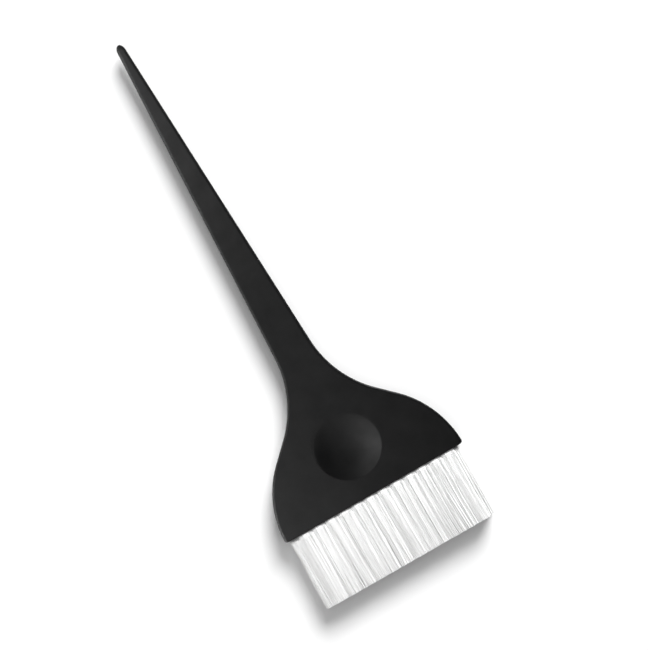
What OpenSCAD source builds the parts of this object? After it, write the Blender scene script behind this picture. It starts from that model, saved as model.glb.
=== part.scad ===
// Wide tint brush: one moulded handle with a thumb rest in each face of its head, and two staggered
// rows of nylon tufts. Each tuft is a bundle of filaments folded over a flat metal anchor, and the
// anchor is driven into a blind hole in the head's end, where its ends bite into the plastic.
// The brush lies on the flat back of its head: X across the head, +Y towards the tail, +Z up.
// The origin is under the middle of the whole brush, on the surface that it lies on.

/* [Handle] */
// Length of the moulded handle, from the tail's tip to the tuft face
handle_l = 191.3; // [185:0.1:215]
// Width of the head at the tuft face
head_w = 75.4; // [72:0.1:80]
// Thickness of the head
head_t = 12; // [11:0.1:14]
// Length of the head that has its full thickness
head_flat_l = 33.6; // [33:0.1:38]
// Radius of the rounded shoulders beside the tuft face
shoulder_r = 37.8; // [34:0.1:40]
// Radius of the hollow curves where the tail widens into the head
neck_r = 41; // [36:0.1:46]
// Steepest angle between the head's outline and the handle's axis, in degrees
flare_angle = 46; // [42:0.1:48]
// Radius of the long edges of the handle
edge_r = 1.1; // [0.7:0.1:2]
// Radius of the head's two corners at the tuft face, seen from above
corner_r = 1.2; // [0.8:0.1:2]
// Radius of the edge round the tuft face
face_edge_r = 0.5; // [0.3:0.1:0.8]

/* [Tail] */
// Width that the tail's straight sides would have at the very tip
tail_w = 3.05; // [2.4:0.05:4]
// Angle of each side of the tail to its axis, in degrees
tail_angle = 2.6; // [2.3:0.1:2.8]
// Thickness of the tail near its tip
tail_t = 3.4; // [3:0.1:4]
// Thickness of the tail where the neck begins
neck_t = 7.2; // [6:0.1:8.4]
// Length of the rounded nose at the tail's tip
nose_l = 2.6; // [1.5:0.1:4]

/* [Thumb rest] */
// Diameter of the round thumb rest
rest_d = 25.4; // [22:0.1:26.4]
// Greatest depth of the thumb rest
rest_depth = 2.8; // [1.5:0.1:3]
// Distance from the tuft face to the middle of the thumb rest
rest_from_face = 20.2; // [19.8:0.1:21]
// How far its deepest point lies from its middle, towards the tufts
rest_offset = 4.5; // [0:0.1:5.5]
// How softly the hollow runs out towards the tail, where 0 is a crisp rim all round
rest_runout = 0.6; // [0:0.1:1]

/* [Tufts] */
// Tufts in the lower row, which is one more than in the upper row
lower_count = 13; // [9:1:13]
// Distance between neighbouring tufts in a row
tuft_pitch = 5.5; // [5.4:0.05:5.6]
// Distance between the two rows
row_gap = 4.6; // [4.4:0.1:5]
// Diameter of each tuft hole
hole_d = 4.3; // [3.8:0.1:4.3]
// Depth of each tuft hole
hole_depth = 9; // [8:0.1:9]
// Length of the tufts that stands out of the head
trim_l = 28.7; // [20:0.1:40]
// Diameter of a tuft at its trimmed end
trim_d = 5.2; // [4.4:0.1:5.2]

/* [Anchors] */
// Thickness of the flat anchor wire
anchor_t = 0.35; // [0.25:0.05:0.5]
// Width of the flat anchor wire, along the hole
anchor_w = 1.6; // [1.2:0.1:2]
// How far each end of an anchor bites into the hole's wall
anchor_bite = 0.25; // [0.15:0.05:0.3]

/* [Hidden] */
$fn = 64;
tuft_play = 0.04;           // keeps a tuft's solid just off its hole's wall
corner_steps = 6;           // flats round each long edge of the handle
nose_flatness = 0.98;       // 1 would bring the nose to a point of no size
overlap = 1;                // how far a cutter runs past the face that it opens
rest_steps = 48;            // points round the thumb rest
rest_rings = 12;            // rings from its deepest point to its rim
rim_clear = 0.02;

upper_count = lower_count - 1;
total_l = handle_l + trim_l;
tip_y = total_l / 2;                      // the tail's tip
face_y = tip_y - handle_l;                // the tuft face
trim_y = -total_l / 2;                    // the trimmed ends of the tufts
mid_z = head_t / 2;                       // the handle's middle plane
anchor_y = face_y + hole_depth - hole_d / 2 - anchor_w / 2;

// The outline, as half a width against the distance s from the tail's tip: a straight tail, a hollow
// neck arc, a short straight flare and a shoulder arc that ends square to the tuft face. Each stretch
// is tangent to the next, so the tangent points follow from the radii and the flare angle.
tail_slope = tan(tail_angle);
flare_slope = tan(flare_angle);
shoulder_w = head_w / 2 - shoulder_r;                  // the shoulder arc's centre is at s = handle_l
flare_end = handle_l - shoulder_r * sin(flare_angle);
flare_end_w = shoulder_w + shoulder_r * cos(flare_angle);
neck_start = (tail_w / 2 + neck_r * (cos(tail_angle) - cos(flare_angle)) - flare_end_w
              - flare_slope * (neck_r * (sin(flare_angle) - sin(tail_angle)) - flare_end))
             / (flare_slope - tail_slope);
neck_s = neck_start - neck_r * sin(tail_angle);        // the neck arc's centre
neck_w = tail_w / 2 + tail_slope * neck_start + neck_r * cos(tail_angle);
flare_start = neck_s + neck_r * sin(flare_angle);
flat_start = handle_l - head_flat_l;                   // where the head reaches its full thickness

function outline(s) =
    s < neck_start ? tail_w / 2 + tail_slope * s
    : s < flare_start ? neck_w - sqrt(neck_r ^ 2 - (s - neck_s) ^ 2)
    : s < flare_end ? flare_end_w + flare_slope * (s - flare_end)
    : shoulder_w + sqrt(shoulder_r ^ 2 - (s - handle_l) ^ 2);

// The nose narrows as an ellipse down to a small flat, and an edge of radius r at the tuft face takes
// away a quarter round.
function nose(s) = s < nose_l ? sqrt(1 - nose_flatness * (1 - s / nose_l) ^ 2) : 1;
function rounding(s, r) = s < handle_l - r ? 0 : r - sqrt(max(0, r ^ 2 - (s - handle_l + r) ^ 2));

// Half the thickness: a straight taper along the tail, then a smooth rise to the head.
function smooth(x) = x * x * (3 - 2 * x);
function half_t(s) =
    s < neck_start ? (tail_t + (neck_t - tail_t) * s / neck_start) / 2
    : s < flat_start ? (neck_t + (head_t - neck_t) * smooth((s - neck_start) / (flat_start - neck_start))) / 2
    : head_t / 2;

function half_width_at(s) = outline(s) * nose(s) - rounding(s, corner_r);
function half_thickness_at(s) = half_t(s) * nose(s) - rounding(s, face_edge_r);
function edge_at(s) = min(edge_r, 0.85 * half_thickness_at(s), 0.85 * half_width_at(s));

// Evenly spaced values from a to b, with b left out.
function spread(a, b, n) = [for (i = [0 : n - 1]) a + (b - a) * i / n];

// The stations along the handle, closer together where the outline or the thickness curves.
stations = concat(
    [for (i = [0 : 7]) nose_l * (1 - cos(90 * i / 7))],
    spread(nose_l + 3, neck_start, 10),
    spread(neck_start, flat_start, 16),
    spread(flat_start, flare_end, 3),
    spread(flare_end, handle_l - corner_r, 16),
    spread(handle_l - corner_r, handle_l - face_edge_r, 3),
    [for (i = [0 : 4]) handle_l - face_edge_r * (1 - sin(90 * i / 4))]);

// One cross-section: a rectangle with rounded corners, as points in the plane at distance s.
function ring(s) = let (w = half_width_at(s), t = half_thickness_at(s), r = edge_at(s)) [
    for (quarter = [0 : 3], i = [0 : corner_steps])
        let (a = 90 * (quarter + i / corner_steps),
             sx = (quarter == 0 || quarter == 3) ? 1 : -1,
             sz = quarter < 2 ? 1 : -1)
        [sx * (w - r) + r * cos(a), tip_y - s, mid_z + sz * (t - r) + r * sin(a)]];

// The handle's body as one closed mesh, from ring to ring, with a flat cap at each end.
module handle_body() {
    n = 4 * (corner_steps + 1);
    last = len(stations) - 1;
    polyhedron(
        points = [for (s = stations, p = ring(s)) p],
        faces = concat(
            [[for (i = [0 : n - 1]) i]],
            [for (k = [0 : last - 1], i = [0 : n - 1])
                let (a = k * n, b = a + n, j = (i + 1) % n) [a + i, b + i, b + j, a + j]],
            [[for (i = [n - 1 : -1 : 0]) last * n + i]]),
        convexity = 6);
}

// The thumb rest is a hollow with a round rim in a flat face at height 0. It is made of rings round its
// deepest point, and q runs from 0 there to 1 at the rim. rim_clear takes the last ring just out of the
// face, so that the rim is a clean cut.
function reach(a) = let (c = rest_offset * sin(a)) c + sqrt(c ^ 2 + rest_d ^ 2 / 4 - rest_offset ^ 2);
function hollow(q, a) =
    rim_clear - (rest_depth + rim_clear) * (1 - q ^ 2) ^ (1 + rest_runout * max(0, sin(a)));
function hollow_ring(q, lift) = [
    for (i = [0 : rest_steps - 1])
        let (a = 360 * i / rest_steps, r = q * reach(a))
        [r * cos(a), r * sin(a) - rest_offset, lift + hollow(q, a)]];

module thumb_rest() {
    n = rest_steps;
    m = rest_rings;
    polyhedron(
        points = concat(
            [[0, -rest_offset, -rest_depth]],
            [for (k = [1 : m], p = hollow_ring(sin(90 * k / m), 0)) p],
            hollow_ring(1, overlap)),
        faces = concat(
            [for (i = [0 : n - 1]) [0, 1 + i, 1 + (i + 1) % n]],
            [for (k = [0 : m - 1], i = [0 : n - 1])
                let (a = 1 + k * n, b = a + n, j = (i + 1) % n) [a + i, b + i, b + j, a + j]],
            [[for (i = [n - 1 : -1 : 0]) 1 + m * n + i]]),
        convexity = 4);
}

// The places of the tufts, as [x, z] in the tuft face.
function tuft_row(count, z) = [for (i = [0 : count - 1]) [(i - (count - 1) / 2) * tuft_pitch, z]];
upper_row = tuft_row(upper_count, mid_z + row_gap / 2);
lower_row = tuft_row(lower_count, mid_z - row_gap / 2);

// A round bar along the handle, from y = from to y = to.
module bar_along_y(from, to, d_from, d_to) {
    translate([0, from, 0]) rotate([-90, 0, 0]) cylinder(h = to - from, d1 = d_from, d2 = d_to);
}

// The flat wire that holds a tuft. It lies across the hole, along the row.
module anchor_wire() {
    translate([0, anchor_y, 0]) cube([hole_d + 2 * anchor_bite, anchor_w, anchor_t], center = true);
}

module handle() {
    color([0.035, 0.035, 0.037])
    difference() {
        handle_body();
        for (side = [0, 1]) translate([0, face_y + rest_from_face, side * head_t])
            mirror([0, 0, 1 - side]) thumb_rest();
        for (p = concat(upper_row, lower_row)) translate([p[0], 0, p[1]]) {
            bar_along_y(face_y - overlap, face_y + hole_depth, hole_d, hole_d);
            anchor_wire();
        }
    }
}

// One tuft: the bundle that fills its hole and widens to its trimmed end, less the anchor's slot.
module tuft(p) {
    root_d = hole_d - 2 * tuft_play;
    color([0.93, 0.93, 0.92])
    translate([p[0], 0, p[1]]) difference() {
        union() {
            bar_along_y(face_y, face_y + hole_depth, root_d, root_d);
            bar_along_y(trim_y, face_y, trim_d, root_d);
        }
        anchor_wire();
    }
}

module anchor(p) {
    color([0.78, 0.64, 0.34])
    translate([p[0], 0, p[1]]) anchor_wire();
}

// Numbered names for a row, such as tuft_upper_01.
function number(i) = str(i < 9 ? "0" : "", i + 1);
function names(prefix, count) = [for (i = [0 : count - 1]) str(prefix, number(i))];
upper_tufts = names("tuft_upper_", upper_count);
lower_tufts = names("tuft_lower_", lower_count);
upper_anchors = names("anchor_upper_", upper_count);
lower_anchors = names("anchor_lower_", lower_count);

handle();
for (i = [0 : upper_count - 1]) {
    tuft(upper_row[i]);
    anchor(upper_row[i]);
}
for (i = [0 : lower_count - 1]) {
    tuft(lower_row[i]);
    anchor(lower_row[i]);
}
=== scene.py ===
"""A wide tint brush lying on a white studio floor.

The handle is one moulding with a thumb rest in each face. Each tuft is a bundle of nylon filaments that
are folded round a flat brass anchor at the bottom of their hole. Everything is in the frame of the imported
model. Points are in millimetres until a mesh is made of them, and materials, lights and the camera are in
metres.
"""

import math

import bmesh
import bpy
import numpy as np
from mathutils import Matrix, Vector


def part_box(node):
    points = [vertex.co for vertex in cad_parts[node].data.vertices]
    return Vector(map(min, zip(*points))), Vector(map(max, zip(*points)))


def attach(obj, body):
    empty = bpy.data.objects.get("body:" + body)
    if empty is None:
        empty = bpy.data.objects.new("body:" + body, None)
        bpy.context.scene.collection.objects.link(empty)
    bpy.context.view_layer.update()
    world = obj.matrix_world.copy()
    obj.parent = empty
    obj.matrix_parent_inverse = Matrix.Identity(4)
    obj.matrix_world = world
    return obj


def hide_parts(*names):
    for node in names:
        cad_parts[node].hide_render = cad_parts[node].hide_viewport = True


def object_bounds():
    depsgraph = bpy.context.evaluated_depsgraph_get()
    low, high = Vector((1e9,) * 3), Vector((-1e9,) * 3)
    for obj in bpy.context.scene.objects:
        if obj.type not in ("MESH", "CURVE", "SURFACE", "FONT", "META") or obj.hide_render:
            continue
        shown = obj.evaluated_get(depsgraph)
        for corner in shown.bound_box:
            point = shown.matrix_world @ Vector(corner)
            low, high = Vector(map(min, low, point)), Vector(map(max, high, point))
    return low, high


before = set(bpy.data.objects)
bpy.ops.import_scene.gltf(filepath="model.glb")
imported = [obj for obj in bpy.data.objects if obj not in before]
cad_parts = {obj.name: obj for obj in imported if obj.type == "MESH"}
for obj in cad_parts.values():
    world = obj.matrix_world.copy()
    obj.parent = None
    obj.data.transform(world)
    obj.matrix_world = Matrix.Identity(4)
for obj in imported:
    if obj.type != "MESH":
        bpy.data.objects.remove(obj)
cad_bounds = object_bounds()

MM = 0.001                               # one millimetre in metres

# The handle's driving dimensions, in millimetres and radians, as in the CAD source.
HEAD_FLAT_L = 33.6                       # length of the head at its full thickness
SHOULDER_R = 37.8                        # rounded shoulders beside the tuft face
NECK_R = 41.0                            # hollow curves where the tail widens into the head
FLARE_ANGLE = math.radians(46.0)         # steepest angle between outline and axis
EDGE_R = 1.1                             # long edges of the handle
CORNER_R = 1.2                           # head corners, seen from above
FACE_EDGE_R = 0.5                        # edge round the tuft face
TAIL_W = 3.05                            # width of the tail's sides carried on to its tip
TAIL_ANGLE = math.radians(2.6)           # of each side of the tail to its axis
TAIL_T = 3.4                             # thickness near the tail's tip
NECK_T = 7.2                             # thickness where the neck begins
NOSE_L = 2.6                             # rounded nose at the tail's tip
NOSE_FLATNESS = 0.98                     # 1 would bring the nose to a point of no size
REST_D = 25.4                            # diameter of each thumb rest
REST_DEPTH = 2.8
REST_FROM_FACE = 20.2                    # from the tuft face to the thumb rest's middle
REST_OFFSET = 4.5                        # from its middle to its deepest point, towards the tufts
REST_RUNOUT = 0.6                        # 0 would give it a crisp rim all round
ANCHOR_BITE = 0.25                       # how far each end of an anchor is let into its hole's wall

# Fine features of the moulding that the CAD model leaves out.
REST_RIM_SOFTNESS = 0.08                 # how far the rounding of the thumb rest's rim reaches down
HOLE_CHAMFER = 0.18                      # chamfer at the mouth of each tuft hole
PARTING_H = 0.3                          # height of the parting line along the handle's sides
PARTING_PROUD = 0.05                     # how far the parting line stands proud
CREASE_ANGLE = math.radians(24)          # edges of the handle sharper than this are shaded sharp

# Nylon filaments.
FILAMENT_D = 0.24
FILAMENT_SIDES = 6
FILAMENT_PITCH = 0.262                   # spacing of the filaments in their hole
GRID_UNEVENNESS = 0.06                   # most that a filament is off its place there, in pitches
FREE_STATIONS = np.array([0, 0.01, 0.025, 0.06, 0.13, 0.28, 0.42, 0.6, 0.8, 1.0])   # of the free length
BEND_SEGMENTS = 5                        # segments round the anchor

# How a tuft opens outside the head. Pairs are for the upper and the lower row.
FLARE_LENGTH = 0.2                       # length in which a tuft opens to meet its neighbours
ROW_HEIGHT = 6.1                         # of a row of tufts, once they have opened
ROW_SHIFT = (0.6, -0.5)                  # towards +X, once opened
OVERLAP = 1.14                           # how much wider than its own space an opened tuft spreads
SQUARENESS = 0.8                         # of an opened tuft, where 0 is round and 1 is square
UPPER_HALF_CROWDING = (1.0, 0.7)         # how much denser the upper half gets towards its surface
LOWER_HALF_CROWDING = (0.0, 1.0)         # the same for the lower half
RIDGE_LENGTH = 0.4                       # length in which a lower tuft rises between the upper ones
RIDGE_RISE = 4.3
RIDGE_W = 0.65                           # width of that ridge, as a share of the tuft's own

# The seams between the tufts wander, and from about half way some of them open. These are the gaps at the
# trim, from -X to +X, the row's two ends included. A negative gap spreads the end of a row.
UPPER_GAPS = (0.3, 0.3, 0.6, 0.3, 0.5, 0.5, 0.3, 0.4, 0.3, 0.6, 0.9, 1.1, 0.4)
LOWER_GAPS = (-1.2,) + (0.0,) * 12 + (-0.2,)
SEAM_BOW = 0.25                          # standard deviation of a seam's bow
SEAM_LEAN = 0.3                          # standard deviation of its lean at the trim
SEAM_OPENS = (0.25, 0.5)                 # where it starts to open, as a share of the free length
SEAM_OPENS_OVER = 0.25                   # share of the free length in which it then opens

# How the filaments of a tuft stray from each other. Lengths are standard deviations.
CLUMPS = 7                               # clumps in each half of a tuft
CLUMPING = 0.08                          # most that a filament closes up to its clump, as a share
WAVINESS = 0.06
WAVES = (0.6, 1.6)                       # of a filament along its free length
WANDER = 0.07                            # from its place beside its neighbours
STRAYS, STRAY = 0.03, 0.4                # share of filaments that stray, and how far at the trim
TRIM_ERROR = 0.06
SHORTS, SHORT_BY = 0.04, (0.2, 0.9)      # share of filaments that end short of the trim, and the range

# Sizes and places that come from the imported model.
handle_low, handle_high = (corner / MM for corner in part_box("handle"))
HANDLE_L = handle_high.y - handle_low.y
HEAD_W = handle_high.x - handle_low.x + 2 * (SHOULDER_R - math.sqrt(SHOULDER_R**2 - CORNER_R**2))
HEAD_T = handle_high.z - handle_low.z
FACE_Y = handle_low.y                    # the tuft face
TIP_Y = handle_high.y                    # the tail's tip
MID_Z = (handle_low.z + handle_high.z) / 2

first, second = (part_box(name)[0] / MM for name in ("tuft_upper_01", "tuft_upper_02"))
TUFT_PITCH = second.x - first.x
TUFTS = sorted(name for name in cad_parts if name.startswith("tuft_"))
ANCHORS = sorted(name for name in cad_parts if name.startswith("anchor_"))


# ---------------------------------------------------------------- outline of the handle

# The outline is half a width against the distance s from the tail's tip. It is a straight tail, a hollow
# neck arc, a short straight flare and a shoulder arc, each tangent to the next.
TAIL_SLOPE = math.tan(TAIL_ANGLE)
FLARE_SLOPE = math.tan(FLARE_ANGLE)
SHOULDER_W = HEAD_W / 2 - SHOULDER_R
FLARE_END = HANDLE_L - SHOULDER_R * math.sin(FLARE_ANGLE)
FLARE_END_W = SHOULDER_W + SHOULDER_R * math.cos(FLARE_ANGLE)
NECK_START = (
    TAIL_W / 2
    + NECK_R * (math.cos(TAIL_ANGLE) - math.cos(FLARE_ANGLE))
    - FLARE_END_W
    - FLARE_SLOPE * (NECK_R * (math.sin(FLARE_ANGLE) - math.sin(TAIL_ANGLE)) - FLARE_END)
) / (FLARE_SLOPE - TAIL_SLOPE)
NECK_S = NECK_START - NECK_R * math.sin(TAIL_ANGLE)
NECK_W = TAIL_W / 2 + TAIL_SLOPE * NECK_START + NECK_R * math.cos(TAIL_ANGLE)
FLARE_START = NECK_S + NECK_R * math.sin(FLARE_ANGLE)
FLAT_START = HANDLE_L - HEAD_FLAT_L


def outline(s):
    if s < NECK_START:
        return TAIL_W / 2 + TAIL_SLOPE * s
    if s < FLARE_START:
        return NECK_W - math.sqrt(NECK_R**2 - (s - NECK_S) ** 2)
    if s < FLARE_END:
        return FLARE_END_W + FLARE_SLOPE * (s - FLARE_END)
    return SHOULDER_W + math.sqrt(SHOULDER_R**2 - (s - HANDLE_L) ** 2)


def half_thickness(s):
    if s < NECK_START:
        return (TAIL_T + (NECK_T - TAIL_T) * s / NECK_START) / 2
    if s < FLAT_START:
        rise = (s - NECK_START) / (FLAT_START - NECK_START)
        return (NECK_T + (HEAD_T - NECK_T) * rise * rise * (3 - 2 * rise)) / 2
    return HEAD_T / 2


def nose(s):
    """How much of its full size a section keeps in the rounded nose at the tail's tip."""
    return math.sqrt(1 - NOSE_FLATNESS * (1 - s / NOSE_L) ** 2) if s < NOSE_L else 1.0


def rounding(s, radius):
    """How far an edge of that radius at the tuft face has come in at s."""
    into = s - HANDLE_L + radius
    return 0.0 if into < 0 else radius - math.sqrt(max(0.0, radius**2 - into**2))


def spread(start, stop, count):
    """Evenly spaced values from start, with stop left out."""
    return [start + (stop - start) * i / count for i in range(count)]


def stations():
    """Distances from the tail's tip at which the handle gets a ring of points."""
    nose_steps, edge_steps = 14, 8
    nose_ring = [1 - math.cos(math.pi / 2 * i / nose_steps) for i in range(nose_steps + 1)]
    edge_ring = [1 - math.sin(math.pi / 2 * i / edge_steps) for i in range(edge_steps + 1)]
    return [
        *(NOSE_L * x for x in nose_ring),
        *spread(NOSE_L + 3, NECK_START, 20),
        *spread(NECK_START, FLAT_START, 36),
        *spread(FLAT_START, FLARE_END, 8),
        *spread(FLARE_END, HANDLE_L - CORNER_R, 40),
        *spread(HANDLE_L - CORNER_R, HANDLE_L - FACE_EDGE_R, 5),
        *(HANDLE_L - FACE_EDGE_R * x for x in edge_ring),
    ]


def section(s):
    """One ring of the handle: a rectangle with rounded corners and a parting line half way up its sides."""
    corner_steps = 10
    w = outline(s) * nose(s) - rounding(s, CORNER_R)
    t = half_thickness(s) * nose(s) - rounding(s, FACE_EDGE_R)
    r = min(EDGE_R, 0.85 * t, 0.85 * w)
    line = min(PARTING_H / 2, 0.4 * (t - r))
    proud = PARTING_PROUD * nose(s)
    points = []
    for quarter in range(4):
        side = 1 if quarter in (0, 3) else -1
        up = 1 if quarter < 2 else -1
        arc = [
            (side * (w - r) + r * math.cos(a), up * (t - r) + r * math.sin(a))
            for a in (math.pi / 2 * (quarter + i / corner_steps) for i in range(corner_steps + 1))
        ]
        ridge = [(side * (w + proud), up * line * 0.6), (side * w, up * line)]
        points += ridge + arc if quarter in (0, 2) else arc + ridge[::-1]
    return [Vector((x, TIP_Y - s, MID_Z + z)) for x, z in points]


# ---------------------------------------------------------------- mesh helpers


def object_from(name, vertices, faces):
    """A mesh object from points in millimetres."""
    mesh = bpy.data.meshes.new(name)
    mesh.from_pydata([Vector(v) * MM for v in vertices], [], faces)
    mesh.validate()
    made = bpy.data.objects.new(name, mesh)
    bpy.context.scene.collection.objects.link(made)
    return made


def lofted(rings):
    """Points and faces of a closed solid through rings that all have the same number of points."""
    n = len(rings[0])
    faces = [list(range(n)), list(range(len(rings) * n - 1, (len(rings) - 1) * n - 1, -1))]
    for k in range(len(rings) - 1):
        for i in range(n):
            a, b, j = k * n, (k + 1) * n, (i + 1) % n
            faces.append([a + i, b + i, b + j, a + j])
    return [point for ring in rings for point in ring], faces


def joined(name, solids):
    """One object from several (points, faces) solids that don't touch."""
    points, faces = [], []
    for more_points, more_faces in solids:
        start = len(points)
        points += more_points
        faces += [[start + i for i in face] for face in more_faces]
    made = object_from(name, points, faces)
    face_outwards(made)
    return made


def face_outwards(made):
    bm = bmesh.new()
    bm.from_mesh(made.data)
    bmesh.ops.recalc_face_normals(bm, faces=bm.faces)
    bm.to_mesh(made.data)
    bm.free()


def apply_modifiers(made):
    bpy.context.view_layer.objects.active = made
    for modifier in list(made.modifiers):
        bpy.ops.object.modifier_apply(modifier=modifier.name)


def cut(made, cutter):
    """Takes the cutter's solids out of an object, and removes the cutter."""
    boolean = made.modifiers.new("cut", "BOOLEAN")
    boolean.operation = "DIFFERENCE"
    boolean.solver = "EXACT"
    boolean.object = cutter
    apply_modifiers(made)
    bpy.data.objects.remove(cutter)


def smooth_with_creases(made):
    """Smooth shading that keeps flat faces flat and edges above CREASE_ANGLE sharp."""
    bm = bmesh.new()
    bm.from_mesh(made.data)
    for face in bm.faces:
        face.smooth = True
    for edge in bm.edges:
        edge.smooth = edge.calc_face_angle(0) < CREASE_ANGLE
    bm.to_mesh(made.data)
    bm.free()
    weighted = made.modifiers.new("weighted", "WEIGHTED_NORMAL")
    weighted.keep_sharp = True
    weighted.weight = 100
    apply_modifiers(made)


# ---------------------------------------------------------------- handle


def rest_reach(a):
    """Distance from the thumb rest's deepest point to its rim, where a = pi / 2 is towards the tail."""
    ahead = REST_OFFSET * math.sin(a)
    return ahead + math.sqrt(ahead**2 + REST_D**2 / 4 - REST_OFFSET**2)


def rest_depth(q, a):
    """Depth of the thumb rest at a share q of the way to its rim. It is negative outside the rim."""
    power = 1 + REST_RUNOUT * max(0.0, math.sin(a))
    return REST_DEPTH * math.copysign(abs(1 - q * q) ** power, 1 - q)


def thumb_rest_cutter(face_z, up):
    """The thumb rest in the face at height face_z whose outward side is up (1 or -1)."""
    steps = 96
    lid_z = 3.0                          # of the cutter's flat top, above the face
    lift = 0.15 * REST_RIM_SOFTNESS      # brings the outermost ring clear of the face
    deepest = Vector((0, FACE_Y + REST_FROM_FACE - REST_OFFSET, face_z))
    rings = []
    for q in (0.04, *spread(0.05, 0.95, 18), *spread(0.95, 1.05, 10), 1.05, 1.08, 1.12):
        ring = []
        for a in spread(0, 2 * math.pi, steps):
            r, depth = q * rest_reach(a), rest_depth(q, a)
            z = lift - (depth + math.hypot(depth, REST_RIM_SOFTNESS)) / 2
            ring.append(deepest + Vector((r * math.cos(a), r * math.sin(a), up * z)))
        rings.append(ring)
    rings.append([Vector((point.x, point.y, face_z + up * lid_z)) for point in rings[-1]])
    return lofted(rings)


def hole_cutter(tuft):
    """The blind hole of one tuft, with a chamfered mouth."""
    low, high = (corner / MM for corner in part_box(tuft))
    anchor_low, anchor_high = (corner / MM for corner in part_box(tuft.replace("tuft", "anchor")))
    hole_r = hole_radius(anchor_low, anchor_high)
    mouth_r = hole_r + HOLE_CHAMFER
    mouth = Vector(((low.x + high.x) / 2, FACE_Y, (low.z + high.z) / 2))
    profile = ((mouth_r, -1.0), (mouth_r, 0.0), (hole_r, HOLE_CHAMFER), (hole_r, high.y - FACE_Y))
    return lofted([
        [mouth + Vector((r * math.cos(a), y, r * math.sin(a))) for a in spread(0, 2 * math.pi, 40)]
        for r, y in profile
    ])


def hole_radius(anchor_low, anchor_high):
    """Each end of an anchor bites ANCHOR_BITE into the wall of its hole."""
    return (anchor_high.x - anchor_low.x) / 2 - ANCHOR_BITE


def anchor_seat(anchor):
    """The slot that an anchor's ends have cut in the wall of its hole."""
    low, high = (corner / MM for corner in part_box(anchor))
    corners = [
        Vector((x, y, z)) for x in (low.x, high.x) for y in (low.y, high.y) for z in (low.z, high.z)
    ]
    faces = [[0, 1, 3, 2], [4, 6, 7, 5], [0, 4, 5, 1], [2, 3, 7, 6], [0, 2, 6, 4], [1, 5, 7, 3]]
    return corners, faces


def make_handle():
    handle = joined("handle_moulding", [lofted([section(s) for s in stations()])])
    rests = [thumb_rest_cutter(handle_high.z, 1), thumb_rest_cutter(handle_low.z, -1)]
    cut(handle, joined("thumb_rests", rests))
    cut(handle, joined("tuft_holes", [hole_cutter(name) for name in TUFTS]))
    cut(handle, joined("anchor_seats", [anchor_seat(name) for name in ANCHORS]))
    smooth_with_creases(handle)
    return handle


# ---------------------------------------------------------------- tufts


def half_disc(radius, clearance, random):
    """Places for filaments on a slightly uneven triangular grid, in the half of a hole over its anchor."""
    places = []
    row_pitch = FILAMENT_PITCH * math.sqrt(0.75)
    for row in range(int((radius - clearance) / row_pitch) + 1):
        z = clearance + row * row_pitch
        count = int(2 * math.sqrt(radius**2 - z**2) / FILAMENT_PITCH)
        for i in range(count + 1):
            places.append(((i - count / 2) * FILAMENT_PITCH, z))
    places = np.array(places)
    return places + random.uniform(-GRID_UNEVENNESS, GRID_UNEVENNESS, places.shape) * FILAMENT_PITCH


class Seam:
    """The seam between two neighbouring tufts of a row, along the free length t, from 0 to 1."""

    def __init__(self, row, index, tip_gap):
        random = np.random.default_rng([row, index])
        self.tip_gap = tip_gap
        self.row_shift = ROW_SHIFT[row]
        self.bow, self.lean = random.normal(0, SEAM_BOW), random.normal(0, SEAM_LEAN)
        self.opens_at = random.uniform(*SEAM_OPENS)

    def shift(self, t):
        return self.row_shift + self.bow * np.sin(math.pi * t) + self.lean * t**1.5

    def gap(self, t):
        into = np.clip((t - self.opens_at) / SEAM_OPENS_OVER, 0, 1)
        return self.tip_gap * (0.8 * into + 0.2 * into * t)


def opened(roots, hole_r, seams, out, crowding, ridge_w):
    """The courses of the filaments in one half of a tuft, as (x, z) off the axis of its hole.

    roots is each filament's place in the hole, and out is the distance from the head at each station.
    Outside the hole the two halves close up behind their anchor, and the bundle opens until it fills the
    space between the seams on its left and right. Crowding, from 0 to 1, is how much denser it gets
    towards its surface. The upper half of a lower tuft rises as a ridge, ridge_w as wide as the tuft. The
    ridge follows the groove between two tufts of the row above, if there is one.
    """
    left, right, groove = seams
    t = FREE_STATIONS
    start = -TUFT_PITCH / 2 + left.shift(t) + left.gap(t) / 2
    stop = TUFT_PITCH / 2 + right.shift(t) - right.gap(t) / 2

    across, up = roots[:, :1] / hole_r, np.abs(roots[:, 1:]) / hole_r
    height = np.sqrt(1 - across**2)
    core = up.min() - 0.5 * FILAMENT_PITCH / hole_r
    share = np.clip((up - core) / (height - core), 0, 1)
    share += (np.sin(math.pi / 2 * share) - share) * crowding
    up = np.sign(roots[:, 1:]) * share * height / np.sqrt(1 - SQUARENESS * across**2)
    middle = (start + stop) / 2
    aside = across * OVERLAP * (stop - start) / 2
    x, z = middle + aside, up * ROW_HEIGHT / 2
    if ridge_w:
        risen = np.clip(up, 0, 1) * (1 - np.exp(-out / RIDGE_LENGTH))
        ridge_x = (groove.shift(t) if groove else middle) + ridge_w * aside
        x, z = x * (1 - risen) + ridge_x * risen, z + RIDGE_RISE * risen
    flare = 1 - np.exp(-out / FLARE_LENGTH)
    x = roots[:, :1] * (1 - flare) + x * flare
    z = roots[:, 1:] * (1 - flare) + z * flare
    return np.stack([x, z], axis=2)


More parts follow.
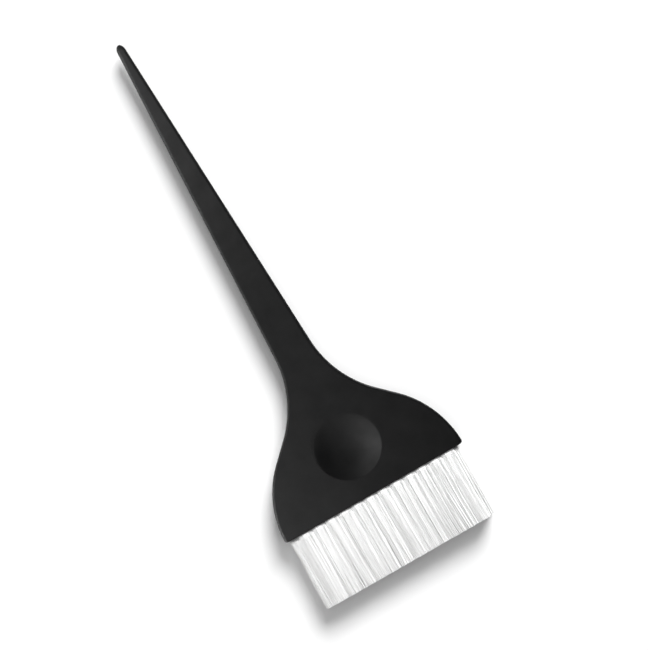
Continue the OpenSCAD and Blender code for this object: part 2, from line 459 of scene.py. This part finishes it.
def loosened(path, roots, hole_r, random):
    """The same courses, clumped a little, wavy, not quite side by side, and with a few strays."""
    count = len(roots)
    t = FREE_STATIONS[None, :, None]
    clumps = random.uniform(-1, 1, (CLUMPS, 2)) * hole_r
    nearest = np.argmin(np.linalg.norm(roots[:, None, :] - clumps[None, :, :], axis=2), axis=1)
    pull = random.uniform(0.0, CLUMPING, (count, 1, 1))
    path = path + (clumps[nearest] - roots)[:, None, :] * pull * t**2.2

    waves = random.uniform(*WAVES, (count, 1, 2))
    phase = random.uniform(0, 2 * math.pi, (count, 1, 2))
    path = path + random.normal(0, WAVINESS, (count, 1, 2)) * np.sin(2 * math.pi * waves * t + phase) * t
    path = path + random.normal(0, WANDER, (count, 1, 2)) * np.minimum(t * 4, 1)
    stray = (random.random((count, 1, 1)) < STRAYS) * random.normal(0, STRAY, (count, 1, 2))
    return path + stray * t**2


def free_leg(roots, hole_r, centre, trim_y, seams, crowding, ridge_w, random):
    """Centre lines of the free ends of one half of a tuft, from the mouth of the hole to the trim."""
    count = len(roots)
    free_length = FACE_Y - trim_y
    path = opened(roots, hole_r, seams, FREE_STATIONS * free_length, crowding, ridge_w)
    path = loosened(path, roots, hole_r, random)
    length = np.full((count, 1), free_length) + random.normal(0, TRIM_ERROR, (count, 1))
    length -= (random.random((count, 1)) < SHORTS) * random.uniform(*SHORT_BY, (count, 1))
    y = FACE_Y - length * FREE_STATIONS
    z = np.maximum(centre[1] + path[:, :, 1], handle_low.z + FILAMENT_D / 2)   # not below the rest face
    return np.stack([centre[0] + path[:, :, 0], y, z], axis=2)


def tuft_lines(tuft, random):
    """The centre lines of a tuft's filaments: out along one leg, round the anchor, back along the other."""
    low, high = (np.array(corner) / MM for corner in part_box(tuft))
    anchor_low, anchor_high = (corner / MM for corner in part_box(tuft.replace("tuft", "anchor")))
    centre = np.array([(low[0] + high[0]) / 2, (low[2] + high[2]) / 2])
    hole_r = hole_radius(anchor_low, anchor_high)
    clearance = (anchor_high.z - anchor_low.z) / 2 + FILAMENT_D / 2
    places = half_disc(hole_r - FILAMENT_D / 2, clearance + 0.01, random)
    mirrored = places * [1, -1]

    row, index = ("upper", "lower").index(tuft.split("_")[1]), int(tuft.split("_")[2])
    gaps = (UPPER_GAPS, LOWER_GAPS)[row]
    at_end = index in (1, len(gaps) - 1)
    groove = Seam(0, index - 1, 0.0) if row and not at_end else None
    seams = Seam(row, index - 1, gaps[index - 1]), Seam(row, index, gaps[index]), groove
    ridge_w = (0.0, 1.0 if at_end else RIDGE_W)[row]
    where = hole_r, centre, low[1], seams
    upper = free_leg(places, *where, UPPER_HALF_CROWDING[row], ridge_w, random)
    lower = free_leg(mirrored, *where, LOWER_HALF_CROWDING[row], 0.0, random)

    turn = np.linspace(0, math.pi, BEND_SEGMENTS + 1)[None, :]
    x = np.repeat(centre[0] + places[:, :1], BEND_SEGMENTS + 1, axis=1)
    y = anchor_high.y + places[:, 1:] * np.sin(turn)
    z = centre[1] + places[:, 1:] * np.cos(turn)
    return np.concatenate([upper[:, ::-1], np.stack([x, y, z], axis=2), lower], axis=1)


def tubes(name, lines, diameter):
    """One mesh of closed round tubes, one along each centre line.

    Every line lies nearly in a plane of constant x, so each ring is spanned by the x axis and the
    direction square to both it and the line.
    """
    count, steps = lines.shape[:2]
    ahead = np.gradient(lines, axis=1)
    across = np.array([1.0, 0.0, 0.0])
    normal = np.cross(ahead, across)
    normal /= np.linalg.norm(normal, axis=2, keepdims=True)
    a = 2 * math.pi * np.arange(FILAMENT_SIDES) / FILAMENT_SIDES
    offset = across * np.cos(a)[:, None] + normal[:, :, None, :] * np.sin(a)[:, None]
    points = (lines[:, :, None, :] + offset * diameter / 2).reshape(-1, 3) * MM

    ring = np.arange(FILAMENT_SIDES)
    following = np.roll(ring, -1)
    rings = np.arange(count * steps).reshape(count, steps, 1) * FILAMENT_SIDES
    here, beyond = rings[:, :-1], rings[:, 1:]
    sides = np.stack([here + ring, here + following, beyond + following, beyond + ring], axis=-1)
    caps = [*(rings[:, 0] + ring[::-1]), *(rings[:, -1] + ring)]
    mesh = bpy.data.meshes.new(name)
    mesh.from_pydata(points.tolist(), [], [*sides.reshape(-1, 4).tolist(), *(cap.tolist() for cap in caps)])
    mesh.polygons.foreach_set("use_smooth", np.ones(len(mesh.polygons), bool))

    ends = np.zeros(len(mesh.edges) * 2, int)
    mesh.edges.foreach_get("vertices", ends)
    start, stop = (ends.reshape(-1, 2) // FILAMENT_SIDES).T
    round_a_cap = (start == stop) & np.isin(start % steps, (0, steps - 1))
    sharp = mesh.attributes.new("sharp_edge", "BOOLEAN", "EDGE")
    sharp.data.foreach_set("value", round_a_cap)
    made = bpy.data.objects.new(name, mesh)
    bpy.context.scene.collection.objects.link(made)
    return made


# ---------------------------------------------------------------- materials


class Nodes:
    """A material's node tree, with short calls for the nodes that the materials here share."""

    def __init__(self, name):
        self.material = bpy.data.materials.new(name)
        self.material.use_nodes = True
        self.tree = self.material.node_tree
        self.shader = self.tree.nodes["Principled BSDF"]
        self.place = self.tree.nodes.new("ShaderNodeTexCoord").outputs["Object"]

    def add(self, kind, **settings):
        node = self.tree.nodes.new(kind)
        for key, value in settings.items():
            setattr(node, key, value)
        return node

    def link(self, source, target):
        self.tree.links.new(source, target)

    def stretched(self, scale):
        """The object's coordinates, scaled along each axis."""
        mapping = self.add("ShaderNodeMapping")
        mapping.inputs["Scale"].default_value = scale
        self.link(self.place, mapping.inputs["Vector"])
        return mapping.outputs["Vector"]

    def noise(self, scale, detail=2.0, vector=None):
        """Noise with about that many features to the metre, or to the unit of the vector."""
        noise = self.add("ShaderNodeTexNoise")
        noise.inputs["Scale"].default_value = scale
        noise.inputs["Detail"].default_value = detail
        self.link(vector or self.place, noise.inputs["Vector"])
        return noise.outputs["Fac"]

    def ranged(self, value, low, high, from_low=0.3, from_high=0.7):
        """The value brought from one range to another, and held inside it."""
        node = self.add("ShaderNodeMapRange")
        limits = {"From Min": from_low, "From Max": from_high, "To Min": low, "To Max": high}
        for key, number in limits.items():
            node.inputs[key].default_value = number
        self.link(value, node.inputs["Value"])
        return node.outputs["Result"]

    def ramp(self, value, stops):
        """A colour for each value, from (position, colour) stops."""
        node = self.add("ShaderNodeValToRGB")
        elements = node.color_ramp.elements
        while len(elements) < len(stops):
            elements.new(0.5)
        for element, (position, colour) in zip(elements, stops):
            element.position = position
            element.color = (*colour, 1)
        self.link(value, node.inputs["Fac"])
        return node.outputs["Color"]

    def math(self, operation, a, b):
        node = self.add("ShaderNodeMath", operation=operation)
        for socket, value in zip(node.inputs, (a, b)):
            if isinstance(value, (int, float)):
                socket.default_value = value
            else:
                self.link(value, socket)
        return node.outputs["Value"]

    def bump(self, height, depth, strength):
        """Bump whose full height is depth, in metres."""
        node = self.add("ShaderNodeBump")
        node.inputs["Strength"].default_value = strength
        node.inputs["Distance"].default_value = depth
        self.link(height, node.inputs["Height"])
        self.link(node.outputs["Normal"], self.shader.inputs["Normal"])


def plastic_material():
    """Black polypropylene with a fine spark-eroded grain, a little smoother where a thumb rubs it."""
    n = Nodes("black_plastic")
    shade = n.ramp(n.noise(110, 3), [(0.3, (0.0004, 0.0004, 0.0005)), (0.7, (0.0030, 0.0030, 0.0031))])
    n.link(shade, n.shader.inputs["Base Color"])

    from_rest = n.add("ShaderNodeVectorMath", operation="DISTANCE")
    n.link(n.stretched((1, 1, 0)), from_rest.inputs[0])
    from_rest.inputs[1].default_value = (0, (FACE_Y + REST_FROM_FACE) * MM, 0)
    rubbed = n.ranged(from_rest.outputs["Value"], -0.03, 0.0, 0.006, 0.016)
    n.link(n.math("ADD", n.ranged(n.noise(130, 3), 0.63, 0.77), rubbed), n.shader.inputs["Roughness"])

    fine, coarse = n.math("MULTIPLY", n.noise(3800, 2), 0.7), n.math("MULTIPLY", n.noise(1500, 1), 0.3)
    uneven = n.math("MULTIPLY", n.noise(120, 1), 8.0)
    n.bump(n.math("ADD", n.math("ADD", fine, coarse), uneven), 0.00004, 0.35)
    return n.material


def nylon_material():
    """White nylon. Each filament has its own shade, and it gets a little greyer towards the trim."""
    n = Nodes("white_nylon")
    n.shader.inputs["Specular IOR Level"].default_value = 0.12
    n.shader.inputs["Roughness"].default_value = 0.6
    streaks = n.noise(1, 2, n.stretched((4200, 25, 4200)))
    shade = n.ramp(streaks, [(0.25, (0.93, 0.93, 0.93)), (0.75, (0.955, 0.955, 0.95))])

    split = n.add("ShaderNodeSeparateXYZ")
    n.link(n.place, split.inputs["Vector"])
    from_trim = n.ranged(split.outputs["Y"], 0.0, 1.0, cad_bounds[0].y, FACE_Y * MM)
    fade = n.ramp(from_trim, [(0.0, (0.93, 0.93, 0.93)), (0.7, (1.0, 1.0, 1.0))])

    faded = n.add("ShaderNodeMix", data_type="RGBA", blend_type="MULTIPLY")
    faded.inputs["Factor"].default_value = 1.0
    n.link(shade, faded.inputs["A"])
    n.link(fade, faded.inputs["B"])
    n.link(faded.outputs["Result"], n.shader.inputs["Base Color"])
    return n.material


def brass_material():
    """Flat brass wire, drawn lengthwise."""
    n = Nodes("anchor_brass")
    n.shader.inputs["Metallic"].default_value = 1.0
    drawn = n.noise(1, 3, n.stretched((200, 4000, 4000)))
    shade = n.ramp(drawn, [(0.3, (0.60, 0.44, 0.19)), (0.7, (0.76, 0.60, 0.30))])
    n.link(shade, n.shader.inputs["Base Color"])
    n.link(n.ranged(drawn, 0.25, 0.42), n.shader.inputs["Roughness"])
    n.bump(drawn, 0.00001, 0.5)
    return n.material


def floor_material():
    """Matt white paper."""
    n = Nodes("white_floor")
    n.shader.inputs["Roughness"].default_value = 0.9
    n.shader.inputs["Specular IOR Level"].default_value = 0.1
    shade = n.ramp(n.noise(3), [(0.0, (0.91, 0.91, 0.91)), (1.0, (0.92, 0.92, 0.92))])
    n.link(shade, n.shader.inputs["Base Color"])
    return n.material


# ---------------------------------------------------------------- stage, light and camera


def make_floor():
    half = 6000                          # half the side of the floor
    corners = [(-half, -half, 0), (half, -half, 0), (half, half, 0), (-half, half, 0)]
    floor = object_from("floor", corners, [[0, 1, 2, 3]])
    floor.data.materials.append(floor_material())


def make_sun(name, azimuth, elevation, strength, soft_angle):
    """A soft distant light from a compass direction, where 0 is +X and 90 is +Y, in degrees."""
    light = bpy.data.lights.new(name, "SUN")
    light.energy = strength
    light.angle = math.radians(soft_angle)
    sun = bpy.data.objects.new(name, light)
    a, e = math.radians(azimuth), math.radians(elevation)
    towards = Vector((math.cos(a) * math.cos(e), math.sin(a) * math.cos(e), math.sin(e)))
    sun.rotation_mode = "QUATERNION"
    sun.rotation_quaternion = towards.to_track_quat("Z", "Y")
    bpy.context.scene.collection.objects.link(sun)
    return sun


def make_softbox(name, place, target, size, power):
    """A square area light at a place, turned to a target. It is size metres wide and power watts strong."""
    light = bpy.data.lights.new(name, "AREA")
    light.size = size
    light.energy = power
    box = bpy.data.objects.new(name, light)
    box.visible_camera = False
    box.location = place
    box.rotation_mode = "QUATERNION"
    box.rotation_quaternion = (Vector(place) - Vector(target)).to_track_quat("Z", "Y")
    bpy.context.scene.collection.objects.link(box)
    return box


def make_world(overhead, around):
    """A grey surround that is brighter round the sides than overhead."""
    world = bpy.data.worlds.new("studio")
    world.use_nodes = True
    tree = world.node_tree
    background = tree.nodes["Background"]
    direction = tree.nodes.new("ShaderNodeTexCoord")
    split = tree.nodes.new("ShaderNodeSeparateXYZ")
    fade = tree.nodes.new("ShaderNodeMapRange")
    fade.inputs["To Min"].default_value = around
    fade.inputs["To Max"].default_value = overhead
    tree.links.new(direction.outputs["Generated"], split.inputs["Vector"])
    tree.links.new(split.outputs["Z"], fade.inputs["Value"])
    tree.links.new(fade.outputs["Result"], background.inputs["Strength"])
    background.inputs["Color"].default_value = (1, 1, 1, 1)
    bpy.context.scene.world = world


def make_camera():
    """Straight above, turned so that the tail points to the picture's upper left."""
    turn = math.radians(-29.83)
    aim = Vector((0.01503, -0.01843, 0.008))
    view_width = 0.2410                  # at the height of the aim
    camera = bpy.data.cameras.new("camera")
    camera.lens = 100
    camera.sensor_width = 36
    camera.clip_start = 0.01
    made = bpy.data.objects.new("camera", camera)
    made.location = aim + Vector((0, 0, view_width * camera.lens / camera.sensor_width))
    made.rotation_euler = (0, 0, turn)
    bpy.context.scene.collection.objects.link(made)
    bpy.context.scene.camera = made


def light_the_scene():
    """The key casts the soft shadow, and the boxes overhead and on the left fill it in.

    None of these shows in the gloss. The plastic's sheen comes from two small boxes on the left, which
    light nothing else.
    """
    for light in (
        make_sun("key", azimuth=50, elevation=40, strength=4.03, soft_angle=30),
        make_softbox("top", (0.0, 0.0, 1.6), (0.0, 0.0, 0.0), size=1.4, power=8.8),
        make_softbox("left", (-1.15, -0.05, 0.22), (0.0, -0.05, 0.0), size=0.4, power=4.0),
    ):
        light.visible_glossy = False
    for light in (
        make_softbox("head_sheen", (-0.154, -0.098, 0.068), (0.0, -0.06, 0.01), size=0.08, power=0.44),
        make_softbox("tail_sheen", (-0.073, 0.113, 0.076), (0.0, 0.08, 0.008), size=0.08, power=0.208),
    ):
        light.visible_diffuse = False
    make_world(overhead=0.02, around=0.08)
    bpy.context.scene.view_settings.view_transform = "Standard"


# ---------------------------------------------------------------- the brush

make_camera()
make_floor()
light_the_scene()

handle = make_handle()
handle.data.materials.append(plastic_material())
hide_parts("handle")
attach(handle, "root")

nylon = nylon_material()
for index, name in enumerate(TUFTS):
    lines = tuft_lines(name, np.random.default_rng(index))
    tuft = tubes(name.replace("tuft", "bristles"), lines, FILAMENT_D)
    tuft.data.materials.append(nylon)
    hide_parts(name)
    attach(tuft, "root")

brass = brass_material()
for name in ANCHORS:
    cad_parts[name].material_slots[0].material = brass
